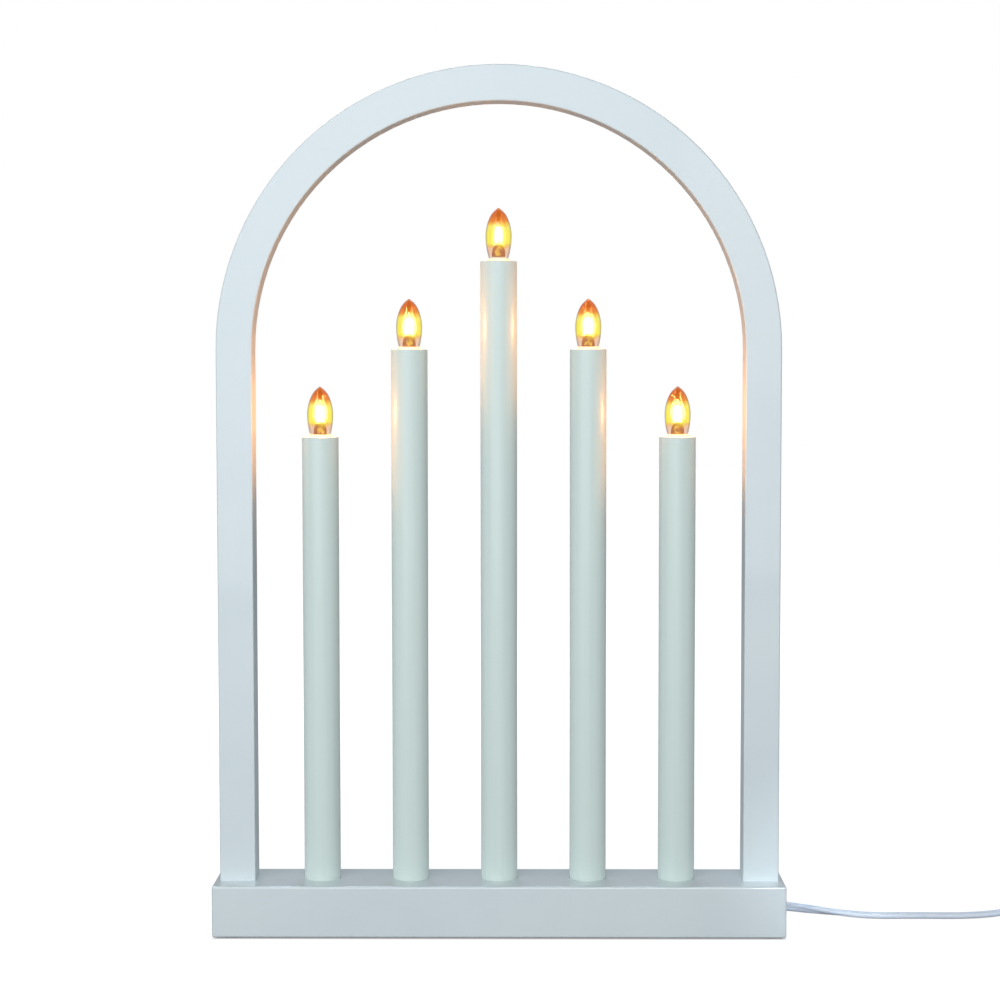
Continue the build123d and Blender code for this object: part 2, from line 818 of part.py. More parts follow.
# Plug
def make_plug():
    half = plug_height / 2
    widest = plug_sleeve_end - plug_length * 0.3
    side = [(plug_sleeve_end, plug_width * 0.28), (widest, plug_width / 2),
            (plug_nose, plug_nose_width / 2)]
    other_side = [(x, -y) for x, y in reversed(side)]
    outline = Polyline(*side, *other_side, close=True)
    body = Pos(0, plug_row, 0) * extrude(make_face(outline), plug_height)
    sides = [edge for edge in body.edges()
             if abs((edge @ 0).X - (edge @ 1).X) < 0.01 and abs((edge @ 0).Y - (edge @ 1).Y) < 0.01]
    body = fillet(sides, plug_edge)
    rims = [edge for edge in body.edges()
            if abs(edge.center().Z) < 0.01 or abs(edge.center().Z - plug_height) < 0.01]
    body = fillet(rims, plug_edge * 0.8)
    sleeve = turned([(0, 0), (plug_sleeve_tip, 0), (plug_sleeve_root, plug_sleeve_length),
                     (0, plug_sleeve_length)])
    sleeve = Pos(plug_entry, plug_row, plug_level) * Rot(0, -90, 0) * sleeve
    body += sleeve
    for side in (-pin_spacing / 2, pin_spacing / 2):
        body -= rod((plug_nose, plug_row + side, half), (plug_nose + pin_root, plug_row + side, half),
                    pin_root_radius)
    return body


def make_pins():
    """Two pins with a slimmer root moulded into the plug and a rounded tip."""
    pins = []
    for side in (-pin_spacing / 2, pin_spacing / 2):
        pin = turned([(0, -pin_root), (pin_root_radius, -pin_root), (pin_root_radius, 0), (pin_radius, 0),
                      (pin_radius, pin_length - pin_tip_round), (pin_radius - pin_tip_round, pin_length),
                      (0, pin_length)])
        pins.append(Pos(plug_nose, plug_row + side, plug_level) * Rot(0, -90, 0) * pin)
    return pieces(pins)


def write(name, shape):
    shape.label = name
    export_step(shape, "parts/" + name + ".step")


def main():
    os.makedirs("parts", exist_ok=True)
    write("base_block", make_base())
    write("bottom_cover", make_cover())
    write("cover_screws", make_cover_screws())
    write("felt_feet", make_feet())
    write("arch_board", make_arch())
    write("leg_dowels", make_dowels())
    write("leg_screws", make_leg_screws())
    holder = make_holder()
    shell = make_shell()
    contact = make_contact()
    lamp = {"bulb_glass": make_glass(), "bulb_cap": make_cap(), "bulb_stem": make_stem(),
            "bulb_filament": make_filament()}
    contacts = []
    for number, x, mouth in tube_places():
        place = Pos(x, setback, mouth)
        write(f"candle_tube_{number}", make_tube(x, mouth))
        write(f"lamp_holder_{number}", place * holder)
        write(f"socket_shell_{number}", place * shell)
        contacts.append(place * contact)
        lift = middle_lamp_lift if x == 0 else 0
        for name, shape in lamp.items():
            write(f"{name}_{number}", Pos(0, 0, lift) * place * shape)
    write("centre_contacts", pieces(contacts))
    write("lamp_wires", make_wires())
    write("terminal_block", make_terminal_block())
    write("cable_block", make_cable_block())
    write("cable_block_screws", make_block_screws())
    write("inner_flex", make_inner_flex())
    write("strain_relief", make_relief())
    write("flex_lead", make_flex("flex_lead", lead_route()))
    write("switch_base", make_switch_base())
    write("switch_cover", make_switch_cover())
    write("switch_rocker", make_rocker())
    write("switch_screws", make_switch_screws())
    write("flex_link", make_flex("flex_link", link_route()))
    write("flex_coil", make_coil())
    write("coil_tie", make_tie())
    write("flex_tail", make_flex("flex_tail", tail_route()))
    write("plug_body", make_plug())
    write("plug_pins", make_pins())


main()
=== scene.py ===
# %% [markdown]
# # An electric candle arch
# The lamp is a white lacquered arch on a long base, with five candle tubes under it. The construction
# is already modelled as solids, so this lesson dresses them: it sets up the photograph's camera, lays
# the flat mains flex, models the glass lamps, and gives every surface its finish.

import math

import bmesh
import bpy
from mathutils import Matrix, Vector


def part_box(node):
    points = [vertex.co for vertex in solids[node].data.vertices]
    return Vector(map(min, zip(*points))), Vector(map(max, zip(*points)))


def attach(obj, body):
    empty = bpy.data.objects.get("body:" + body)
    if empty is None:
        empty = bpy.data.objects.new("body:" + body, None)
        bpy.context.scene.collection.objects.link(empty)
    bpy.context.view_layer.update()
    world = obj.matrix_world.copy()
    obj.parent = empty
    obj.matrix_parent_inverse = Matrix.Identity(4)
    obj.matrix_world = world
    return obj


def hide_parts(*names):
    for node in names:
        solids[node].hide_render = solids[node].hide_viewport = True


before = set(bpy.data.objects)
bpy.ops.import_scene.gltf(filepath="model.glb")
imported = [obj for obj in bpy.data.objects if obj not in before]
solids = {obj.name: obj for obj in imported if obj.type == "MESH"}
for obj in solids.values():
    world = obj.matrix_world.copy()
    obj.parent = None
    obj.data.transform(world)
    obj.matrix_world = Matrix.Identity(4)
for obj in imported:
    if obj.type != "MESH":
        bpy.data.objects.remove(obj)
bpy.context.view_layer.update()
MM = 0.001
TUBES = (1, 2, 3, 4, 5)

# %% [markdown]
# ## The camera
# The picture was taken from in front, a little above the middle of the lamp, with a longish lens. The
# place, tilt and lens below come from fitting a camera to the edges of the base, legs, crown and
# tubes in the photograph. A matrix made from the three view directions sets them without guessing
# at rotation orders.

# %% Stand the camera where the photographer stood
PICTURE_PIXELS = 1000
LENS_PIXELS = 2299.46
SENSOR_MM = 36.0
camera_place = Vector((0.01386, -1.45829, 0.36864))
camera_pitch = 0.06302
camera_yaw = -0.00899
camera_roll = -0.00102


def camera_directions():
    """Right, up and ahead of the camera."""
    ahead = Vector((math.sin(camera_yaw) * math.cos(camera_pitch),
                    math.cos(camera_yaw) * math.cos(camera_pitch),
                    -math.sin(camera_pitch)))
    level = Vector((math.cos(camera_yaw), -math.sin(camera_yaw), 0))
    upright = level.cross(ahead)
    right = level * math.cos(camera_roll) + upright * math.sin(camera_roll)
    up = upright * math.cos(camera_roll) - level * math.sin(camera_roll)
    return right, up, ahead


def stand_camera():
    data = bpy.data.cameras.new("camera")
    data.sensor_width = SENSOR_MM
    data.lens = LENS_PIXELS * SENSOR_MM / PICTURE_PIXELS
    camera = bpy.data.objects.new("camera", data)
    bpy.context.scene.collection.objects.link(camera)
    right, up, ahead = camera_directions()
    turn = Matrix((right, up, -ahead)).transposed().to_4x4()
    camera.matrix_world = Matrix.Translation(camera_place) @ turn
    bpy.context.scene.camera = camera
    return camera


camera = stand_camera()
print("lens", round(camera.data.lens, 2), "mm")

# %% [markdown]
# ## A section drawn along a line
# The flex and the lamp filaments are both one section carried along a line. Each step extrudes the
# last ring of edges and moves the new ring from one frame of the line to the next, so no list of
# faces has to be written. The frame at each point is its direction and a chosen side direction.

# %% Helpers for new pieces
WELD = 1e-6


def link(name, mesh, body):
    """Makes a finished mesh a piece that rides on a body of the lamp."""
    piece = bpy.data.objects.new(name, mesh)
    bpy.context.scene.collection.objects.link(piece)
    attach(piece, body)
    return piece


def finished_mesh(name, shape, smooth=True):
    """Closes a bmesh with outward normals and turns it into a mesh."""
    bmesh.ops.remove_doubles(shape, verts=shape.verts, dist=WELD)
    bmesh.ops.recalc_face_normals(shape, faces=shape.faces)
    mesh = bpy.data.meshes.new(name)
    shape.to_mesh(mesh)
    shape.free()
    for face in mesh.polygons:
        face.use_smooth = smooth
    return mesh


def line_frames(points, side_at):
    """A frame for each point of a line: its side, its top and its direction."""
    frames = []
    last = len(points) - 1
    for index, point in enumerate(points):
        ahead = (points[min(index + 1, last)] - points[max(index - 1, 0)]).normalized()
        side = side_at(index, ahead)
        side = (side - ahead * side.dot(ahead)).normalized()
        top = ahead.cross(side)
        turn = Matrix((side, top, ahead)).transposed().to_4x4()
        frames.append(Matrix.Translation(point) @ turn)
    return frames


def sweep_section(section, frames):
    """Carries a closed section, given as points in the plane, along a line's frames."""
    shape = bmesh.new()
    ring = [shape.verts.new(frames[0] @ Vector((x, y, 0))) for x, y in section]
    edges = [shape.edges.new((ring[i], ring[i - 1])) for i in range(len(ring))]
    shape.faces.new(ring)
    for before, after in zip(frames, frames[1:]):
        grown = bmesh.ops.extrude_edge_only(shape, edges=edges)["geom"]
        edges = [part for part in grown if isinstance(part, bmesh.types.BMEdge)]
        edges = [edge for edge in edges if len(edge.link_faces) == 1]
        moved = [part for part in grown if isinstance(part, bmesh.types.BMVert)]
        bmesh.ops.transform(shape, matrix=after @ before.inverted(), verts=moved)
    bmesh.ops.holes_fill(shape, edges=edges, sides=0)
    return shape


# %% [markdown]
# ## The mains flex
# The flex is flat: two cores side by side in white PVC, 6 mm wide and 3.9 mm thick. It leaves the back
# of the base on its edge, because a flat flex bends easily only across its thickness, and rolls over
# to lie flat about 40 mm past the base's end, where the photograph shows a twist. A smooth spline
# through a few points gives its line, and the section follows points read back from that spline.

# %% Sizes of the flex and its route
FLEX_WIDTH = 6.0 * MM
FLEX_THICKNESS = 3.9 * MM
ON_EDGE = FLEX_WIDTH / 2
LAID_FLAT = FLEX_THICKNESS / 2
SWITCH_ENTRY = 5.0 * MM
SPLINE_STEPS = 12
relief_low, relief_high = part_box("strain_relief")
switch_low, switch_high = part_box("switch_base")
flex_exit = Vector(((relief_low.x + relief_high.x) / 2, relief_high.y, (relief_low.z + relief_high.z) / 2))
switch_row = (switch_low.y + switch_high.y) / 2

lead_points = [
    flex_exit,
    flex_exit + Vector((0, 0.0174, 0)),
    Vector((0.0938, 0.0805, 0.0078)),
    Vector((0.1088, 0.0892, 0.0044)),
    Vector((0.1262, 0.0892, ON_EDGE)),
    Vector((0.1460, 0.0775, ON_EDGE)),
    Vector((0.1680, 0.0615, ON_EDGE)),
    Vector((0.1920, 0.0500, ON_EDGE)),
    Vector((0.2170, 0.0384, 0.0026)),
    Vector((0.2420, 0.0286, 0.0021)),
    Vector((0.2720, 0.0304, LAID_FLAT)),
    Vector((0.3000, 0.0292, LAID_FLAT)),
    Vector((switch_low.x - 0.0250, switch_row - 0.0004, 0.0030)),
    Vector((switch_low.x - 0.0125, switch_row, SWITCH_ENTRY)),
    Vector((switch_low.x, switch_row, SWITCH_ENTRY)),
]


def smooth_line(name, points):
    """Points read from one smooth spline with these control points."""
    curve = bpy.data.curves.new(name, "CURVE")
    curve.dimensions = "3D"
    curve.resolution_u = SPLINE_STEPS
    spline = curve.splines.new("NURBS")
    spline.points.add(len(points) - 1)
    for place, point in zip(spline.points, points):
        place.co = (point.x, point.y, point.z, 1)
    spline.order_u = 3
    spline.use_endpoint_u = True
    holder = bpy.data.objects.new(name, curve)
    bpy.context.scene.collection.objects.link(holder)
    mesh = bpy.data.meshes.new_from_object(holder)
    line = [vertex.co.copy() for vertex in mesh.vertices]
    bpy.data.objects.remove(holder)
    bpy.data.meshes.remove(mesh)
    return line


def length_of(line):
    return sum((after - before).length for before, after in zip(line, line[1:]))


lead_line = smooth_line("lead_line", lead_points)
print("lead", len(lead_line), "points", round(length_of(lead_line), 4), "m")

# %% [markdown]
# The length that the photograph doesn't show is put away in a neat coil in two layers past the
# switch: it spirals in on the table, climbs a layer, and spirals out again. The turns are worked
# out, half a turn at a time, by the same rule as in the solids.

# %% The coil's turns and the tail to the plug
COIL_CENTRE_X = 493.0 * MM
COIL_ROW = 28.0 * MM
COIL_INNER = 24.4 * MM
COIL_PITCH = 6.4 * MM
COIL_HALF_TURNS_IN = 6
COIL_LIFT = 0.7 * MM
COIL_LAYER = 6.3 * MM
STEPS_PER_HALF_TURN = 8
END_RUN = 5.8 * MM
coil_outer = COIL_INNER + COIL_PITCH / 2 * (COIL_HALF_TURNS_IN + 1)
coil_low = COIL_LIFT + ON_EDGE - 0.1 * MM
coil_high = coil_low + COIL_LAYER


def coil_marks():
    """Radius and layer at each half turn's end."""
    marks = [(coil_outer - COIL_PITCH / 2 * step, 0) for step in range(COIL_HALF_TURNS_IN + 1)]
    marks.append((COIL_INNER, 1))
    marks += [(COIL_INNER + COIL_PITCH * (1 + step / 2), 1) for step in range(COIL_HALF_TURNS_IN)]
    return marks


def coil_points():
    """The spline's points round the coil, set out a little so that the smooth line has its radius."""
    level = (coil_low, coil_high)
    set_out = 1 / math.cos(math.pi / STEPS_PER_HALF_TURN / 2)
    points = []
    marks = coil_marks()
    for turn, (start, end) in enumerate(zip(marks, marks[1:])):
        side = 1 if turn % 2 == 0 else -1
        radius = (start[0] + end[0]) / 2
        middle = COIL_ROW + side * (start[0] - end[0]) / 2
        for step in range(STEPS_PER_HALF_TURN):
            share = step / STEPS_PER_HALF_TURN
            angle = math.pi * share
            height = level[start[1]] + (level[end[1]] - level[start[1]]) * share
            points.append(Vector((COIL_CENTRE_X + side * math.sin(angle) * radius * set_out,
                                  middle + side * math.cos(angle) * radius * set_out, height)))
    return points


plug_low, plug_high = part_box("plug_body")
plug_row = (plug_low.y + plug_high.y) / 2
plug_level = (plug_low.z + plug_high.z) / 2
coil_head = COIL_ROW + coil_outer
coil_foot = COIL_ROW - coil_outer
coil_door = COIL_CENTRE_X - END_RUN
rest_points = [
    Vector((switch_high.x, switch_row, SWITCH_ENTRY)),
    Vector((switch_high.x + 0.016, switch_row, SWITCH_ENTRY)),
    Vector((switch_high.x + 0.031, switch_row + 0.008, 0.0041)),
    Vector((coil_door - 0.031, coil_head - 0.008, coil_low)),
    Vector((coil_door - 0.016, coil_head, coil_low)),
    Vector((coil_door, coil_head, coil_low)),
]
rest_points += coil_points()
rest_points += [
    Vector((COIL_CENTRE_X, coil_foot, coil_high)),
    Vector((coil_door, coil_foot, coil_high)),
    Vector((coil_door - 0.014, coil_foot, coil_high)),
    Vector((plug_high.x + 0.014, plug_row, plug_level)),
    Vector((plug_high.x, plug_row, plug_level)),
]
rest_line = smooth_line("rest_line", rest_points)
print("rest", len(rest_line), "points", round(length_of(rest_line), 4), "m")

# %% [markdown]
# The section is a flat oval with a shallow furrow along each broad face, where the two cores meet
# under the sheath. A roll angle along the line turns it: a quarter turn stands it on its edge. The
# places where it twists are distances along the line, in metres.

# %% Give the line its flat section
GROOVE = 0.22 * MM
FURROW_EDGE = 0.45
ARC_STEPS = 7
LEAD_TWIST = (0.142, 0.192)
HELD_FLAT = 0.006
SWITCH_TWIST_END = 0.050
PLUG_TWIST_START = 0.046


def flex_section():
    """Half rounds at both ends and a slight furrow in the middle of both broad faces."""
    radius = FLEX_THICKNESS / 2
    reach = FLEX_WIDTH / 2 - radius
    points = []
    for side in (1, -1):
        for step in range(ARC_STEPS + 1):
            angle = -math.pi / 2 + math.pi * step / ARC_STEPS
            points.append((side * (reach + math.cos(angle) * radius), side * math.sin(angle) * radius))
        for across, depth in ((FURROW_EDGE, 0.5), (0, 1), (-FURROW_EDGE, 0.5)):
            points.append((side * reach * across, side * (radius - GROOVE * depth)))
    return points


def ease(share):
    """A smooth step from 0 to 1."""
    share = min(max(share, 0), 1)
    return share * share * (3 - 2 * share)


def lay_flex(name, line, rolls):
    """Sweeps the flat section along a line with a roll, in quarter turns, between given distances."""
    travelled = [0.0]
    for before, after in zip(line, line[1:]):
        travelled.append(travelled[-1] + (after - before).length)

    def side_at(index, ahead):
        roll = rolls[0][1]
        for (start, low), (end, high) in zip(rolls, rolls[1:]):
            if travelled[index] >= start:
                roll = low + (high - low) * ease((travelled[index] - start) / (end - start))
        level = ahead.cross(Vector((0, 0, 1))).normalized()
        angle = roll * math.pi / 2
        return level * math.cos(angle) + Vector((0, 0, 1)) * math.sin(angle)

    shape = sweep_section(flex_section(), line_frames(line, side_at))
    return link(name, finished_mesh(name, shape), "stand")


lead_length = length_of(lead_line)
rest_length = length_of(rest_line)
lead_rolls = [(0, 1), (LEAD_TWIST[0], 1), (LEAD_TWIST[1], 0), (lead_length, 0)]
rest_rolls = [(0, 0), (HELD_FLAT, 0), (SWITCH_TWIST_END, 1), (rest_length - PLUG_TWIST_START, 1),
              (rest_length - HELD_FLAT, 0), (rest_length, 0)]
lead = lay_flex("flat_flex_lead", lead_line, lead_rolls)
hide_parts("flex_lead")
rest = lay_flex("flat_flex_coiled", rest_line, rest_rolls)
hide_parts("flex_link", "flex_coil", "flex_tail")
print("flex pieces", len(lead.data.polygons), len(rest.data.polygons), "faces")

# %% [markdown]
# A soft strap holds the coil. It goes once round the turns, close to them, and its end laps over its
# start. Its line is a rounded box in an upright plane through the coil's middle, as wide as the turns
# that cross that plane, and a thin flat section follows it.

# %% Wrap the strap round the turns
STRAP_ANGLE = math.radians(200)
STRAP_WIDTH = 8.0 * MM
STRAP_THICKNESS = 0.6 * MM
STRAP_CORNER = 2.0 * MM
STRAP_LAP = 8.0 * MM
LAP_LIFT = 1.1
EDGE_SHARE = 0.4
CORNER_STEPS = 5
NEAR_PLANE = 0.995
outward = Vector((math.cos(STRAP_ANGLE), math.sin(STRAP_ANGLE), 0))
along = Vector((-outward.y, outward.x, 0))
coil_middle = Vector((COIL_CENTRE_X, COIL_ROW, 0))


def turns_crossed():
    """How far from the coil's middle the nearest and the farthest turn meet the strap's plane."""
    crossed = []
    for point in rest_line:
        spoke = (point - coil_middle).xy
        if spoke.length < coil_outer and spoke.normalized().dot(outward.xy) > NEAR_PLANE:
            crossed.append(spoke.length)
    return min(crossed), max(crossed)


def strap_line():
    """Out over the turns, down, back under them and up, and a lap on top."""
    near, far = turns_crossed()
    near -= FLEX_THICKNESS / 2 + STRAP_THICKNESS
    far += FLEX_THICKNESS / 2 + STRAP_THICKNESS
    low = STRAP_THICKNESS / 2
    high = coil_high + ON_EDGE + STRAP_THICKNESS
    lapped = high + STRAP_THICKNESS * LAP_LIFT
    start = near + STRAP_CORNER + STRAP_THICKNESS
    plan = [Vector((start, high))]
    turns = [((far, high), (1, 0), (0, -1)), ((far, low), (0, -1), (-1, 0)), ((near, low), (-1, 0), (0, 1)),
             ((near, lapped), (0, 1), (1, 0))]
    for corner, coming, going in turns:
        middle_of_arc = Vector(corner) + (Vector(going) - Vector(coming)) * STRAP_CORNER
        for step in range(CORNER_STEPS + 1):
            angle = math.pi / 2 * step / CORNER_STEPS
            reach = Vector(coming) * math.sin(angle) - Vector(going) * math.cos(angle)
            plan.append(middle_of_arc + reach * STRAP_CORNER)
    plan.append(Vector((start + STRAP_LAP, lapped)))
    return [coil_middle + outward * across + Vector((0, 0, height)) for across, height in plan]


half_width = STRAP_WIDTH / 2
half_thickness = STRAP_THICKNESS / 2
flat_end = half_width - half_thickness
edge_height = half_thickness * EDGE_SHARE
strap_section = [(-half_width, -edge_height), (-flat_end, -half_thickness), (flat_end, -half_thickness),
                 (half_width, -edge_height), (half_width, edge_height), (flat_end, half_thickness),
                 (-flat_end, half_thickness), (-half_width, edge_height)]
strap_shape = sweep_section(strap_section, line_frames(strap_line(), lambda index, ahead: along))
strap = link("coil_strap", finished_mesh("coil_strap", strap_shape, smooth=False), "stand")
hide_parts("coil_tie")
print("strap", [round(reach, 4) for reach in turns_crossed()], len(strap.data.polygons), "faces")

# %% [markdown]
# Each stretch has its line and true length, and parts that go with it: the strain relief and the
# switch with the first, the plug and the strap with the second. The two lengths are printed.

print("cords", round(lead_length, 3), "and", round(rest_length, 3), "m")

# %% [markdown]
# ## Mixing finishes
# Every finish below starts from a real material. One helper adds a node, sets its values and joins
# its inputs, and one function turns the colours, written as on screen, into the linear values that
# the renderer needs.

# %% Colour and node helpers
def linear(code):
    """Linear colour of an sRGB hex code."""
    channels = [int(code[i:i + 2], 16) / 255 for i in (1, 3, 5)]
    return tuple(c / 12.92 if c <= 0.04045 else ((c + 0.055) / 1.055) ** 2.4 for c in channels) + (1.0,)


def feed(material, node, inputs):
    """Sets a node's inputs, each to a value or to another node's output."""
    for name, value in inputs.items():
        if isinstance(value, bpy.types.NodeSocket):
            material.node_tree.links.new(value, node.inputs[name])
        else:
            node.inputs[name].default_value = value


def add(material, kind, inputs=None, **settings):
    """Adds a node with its settings and its inputs."""
    node = material.node_tree.nodes.new("ShaderNode" + kind)
    for name, value in settings.items():
        setattr(node, name, value)
    feed(material, node, inputs or {})
    return node


def new_material(name):
    material = bpy.data.materials.new(name)
    material.use_nodes = True
    return material


def shader(material, inputs):
    """Sets values and links on the material's main shader."""
    feed(material, material.node_tree.nodes["Principled BSDF"], inputs)


def bare_material(name):
    """A material without its main shader, for finishes that mix their own."""
    material = new_material(name)
    material.node_tree.nodes.remove(material.node_tree.nodes["Principled BSDF"])
    return material


def to_surface(material, node):
    feed(material, material.node_tree.nodes["Material Output"], {"Surface": node.outputs[0]})


def paint(material, *names):
    """Puts a material on solids by name, or on new pieces."""
    for name in names:
        piece = solids[name] if isinstance(name, str) else name
        piece.data.materials.clear()
        piece.data.materials.append(material)


# %% [markdown]
# Most finishes share a few steps: noise in patches of a known size, a change of span, a colour ramp,
# a blend of two colours, and a bump with its depth in millimetres. Each gets a small function.

# %% Steps that the finishes share
def object_place(material):
    return add(material, "TexCoord").outputs["Object"]


def stretched(material, place, scale):
    return add(material, "Mapping", {"Vector": place, "Scale": scale}).outputs["Vector"]


def noise(material, place, patch_mm, detail=2.0):
    """Noise with patches of about this size in millimetres."""
    node = add(material, "TexNoise", {"Vector": place, "Scale": 1000 / patch_mm, "Detail": detail})
    return node.outputs["Fac"]


def span(material, value, source, result):
    """Carries a value from one span to another and holds it at the ends."""
    node = add(material, "MapRange", {"Value": value, "From Min": source[0], "From Max": source[1],
                                      "To Min": result[0], "To Max": result[1]})
    return node.outputs["Result"]


def ramp(material, value, stops):
    """A colour ramp through stops, each a place between 0 and 1 and a linear colour."""
    node = add(material, "ValToRGB", {"Fac": value})
    while len(node.color_ramp.elements) < len(stops):
        node.color_ramp.elements.new(0.5)
    for element, (position, colour) in zip(node.color_ramp.elements, stops):
        element.position = position
        element.color = colour
    return node.outputs["Color"]


def blend(material, share, first, second):
    """The first colour going over to the second."""
    return add(material, "MixRGB", {"Fac": share, "Color1": first, "Color2": second}).outputs["Color"]


def maths(material, operation, first, second=0.0):
    return add(material, "Math", {0: first, 1: second}, operation=operation).outputs[0]


def bumpy(material, height, depth_mm, strength):
    """A bump with this depth in millimetres."""
    node = add(material, "Bump", {"Height": height, "Distance": depth_mm * MM, "Strength": strength})
    return node.outputs["Normal"]


FULL = (0.0, 1.0)
FALLING = (1.0, 0.0)
NOISE_MIDDLE = (0.3, 0.7)


def two_tones(material, value, first, second, between=NOISE_MIDDLE):
    """The first colour up to one value, the second from another on, and a blend between them."""
    return ramp(material, value, [(between[0], linear(first)), (between[1], linear(second))])


def around(value, below, above):
    """A span from below a value to above it."""
    return value - below, value + above


print("steps ready, white is", [round(value, 3) for value in linear("#FFFFFF")])

# %% [markdown]
# ## White lacquered board
# Base and arch are MDF, routed and sprayed with a white satin lacquer. A sprayed coat is very even:
# what the eye gets is a soft sheen, a faint orange-peel ripple about 1.5 mm across, and a slight
# drift of tone and gloss over some centimetres, where the coat is thinner. The base has a clear
# top coat, in which the feet of the tubes and legs are mirrored; the arch has much less of it.

# %% Satin lacquer
BOARD_LIGHT = "#DCE8EB"
BOARD_DARK = "#D7E4E8"
BOARD_DRIFT_MM = 70
BOARD_RIPPLE_MM = 1.5
BOARD_RIPPLE_DEPTH_MM = 0.012


def satin_lacquer(name, roughness, coat, coat_ior):
    """Sprayed lacquer: a slow drift of tone and gloss, a fine ripple and a clear coat."""
    material = new_material(name)
    place = object_place(material)
    drift = noise(material, place, BOARD_DRIFT_MM, detail=3.0)
    tone = two_tones(material, drift, BOARD_DARK, BOARD_LIGHT)
    gloss = span(material, drift, NOISE_MIDDLE, around(roughness, 0.04, 0.05))
    ripple = noise(material, place, BOARD_RIPPLE_MM)
    shader(material, {"Base Color": tone, "Roughness": gloss,
                      "Normal": bumpy(material, ripple, BOARD_RIPPLE_DEPTH_MM, strength=0.6),
                      "Coat Weight": coat, "Coat Roughness": 0.05, "Coat IOR": coat_ior})
    return material


paint(satin_lacquer("base_lacquer", roughness=0.38, coat=1.0, coat_ior=1.6), "base_block")
paint(satin_lacquer("arch_lacquer", roughness=0.44, coat=0.3, coat_ior=1.5), "arch_board")
print("board lacquer on base and arch")

# %% [markdown]
# ## Candle tubes
# The tubes are thin-walled, white and glossier than the board, with a faint green cast. Fine streaks
# run along them from drawing and polishing, and their lacquer has a slightly smaller ripple.

# %% Glossy tube lacquer
def tube_lacquer():
    """Polished lacquer with streaks along the tube."""
    material = new_material("white_tube")
    place = object_place(material)
    streak = noise(material, stretched(material, place, (1, 1, 0.02)), patch_mm=3, detail=3.0)
    tone = two_tones(material, streak, "#D7E6E2", "#DCEAE6", between=(0.25, 0.75))
    gloss = span(material, streak, FULL, (0.30, 0.44))
    ripple = noise(material, place, patch_mm=1.2)
    shader(material, {"Base Color": tone, "Roughness": gloss,
                      "Normal": bumpy(material, ripple, depth_mm=0.008, strength=0.5),
                      "Coat Weight": 0.15, "Coat Roughness": 0.12, "Diffuse Roughness": 0.6})
    return material


paint(tube_lacquer(), *[f"candle_tube_{number}" for number in TUBES])
print("tube lacquer on", len(TUBES), "tubes")

# %% [markdown]
# ## The glass lamps
# Each lamp is a clear candle-shaped glass with a pointed tip, where the exhaust tube was melted off.
# Its outline is four arcs: the swell is widest 18 mm below the tip, then draws in to the cap. A half
# profile with both walls, spun round the axis, gives a glass with a true thickness. The sizes of the
# lamp and of what is in it are in millimetres, and heights count from the tube's mouth.

# %% Model the lamp glass
MOUTHS = {number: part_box(f"candle_tube_{number}")[1].z for number in TUBES}
AXES = {number: sum(corner.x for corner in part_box(f"candle_tube_{number}")) / 2 for number in TUBES}
TUBE_ROW = sum(corner.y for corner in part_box("candle_tube_3")) / 2
LAMP_RISE = 32.0
SEATS = {number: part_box(f"bulb_glass_{number}")[1].z - LAMP_RISE * MM for number in TUBES}
LAMP_RADIUS = 8.2
WIDEST_HEIGHT = 14.0
SHOULDER = (5.6, 25.7)
LAMP_MOUTH = (6.5, 1.4)
LAMP_NECK = (3.95, -3.45)
NECK_FOOT = -5.6
GLASS_WALL = 0.55
PIP = (0.8, 31.4)
TIP_WALLS = 1.2
SHOULDER_WALLS = (0.9, 0.42)
INNER_PIP_RADIUS = 0.2
SPIN_STEPS = 56
SPIN_WELD = 1e-7


def arc(start, end, heading, steps):
    """Points of the arc that leaves start along heading and reaches end."""
    chord = Vector(end) - Vector(start)
    turn = Vector(heading).angle_signed(chord)
    points = []
    for step in range(1, steps + 1):
        share = step / steps
        reach = chord.length * math.sin(turn * share) / math.sin(turn)
        way = Vector(heading).normalized()
        way.rotate(Matrix.Rotation(-turn * share, 2))
        points.append(Vector(start) + way * reach)
    return points


def leaving(start, end, heading):
    """The heading at the end of that arc."""
    turn = Vector(heading).angle_signed(Vector(end) - Vector(start))
    way = Vector(heading).normalized()
    way.rotate(Matrix.Rotation(-2 * turn, 2))
    return way


def glass_outline(inset):
    """Half profile from the tip on the axis down to the neck's foot, moved in by a wall."""
    widest = (LAMP_RADIUS - inset, WIDEST_HEIGHT)
    shoulder = (SHOULDER[0] - inset * SHOULDER_WALLS[0], SHOULDER[1] - inset * SHOULDER_WALLS[1])
    pip = (max(PIP[0] - inset, INNER_PIP_RADIUS), PIP[1] - inset * TIP_WALLS)
    mouth = (LAMP_MOUTH[0] - inset, LAMP_MOUTH[1])
    neck = (LAMP_NECK[0] - inset, LAMP_NECK[1])
    up = (0, 1)
    over = leaving(widest, shoulder, up)
    top = [Vector((0, LAMP_RISE - inset * TIP_WALLS))] + arc(shoulder, pip, over, steps=9)[::-1]
    top += [Vector(shoulder)] + arc(widest, shoulder, up, steps=10)[::-1][1:]
    down = (0, -1)
    inward = leaving(widest, mouth, down)
    low = [Vector(widest)] + arc(widest, mouth, down, steps=12) + arc(mouth, neck, inward, steps=6)
    return top + low + [Vector((neck[0], NECK_FOOT))]


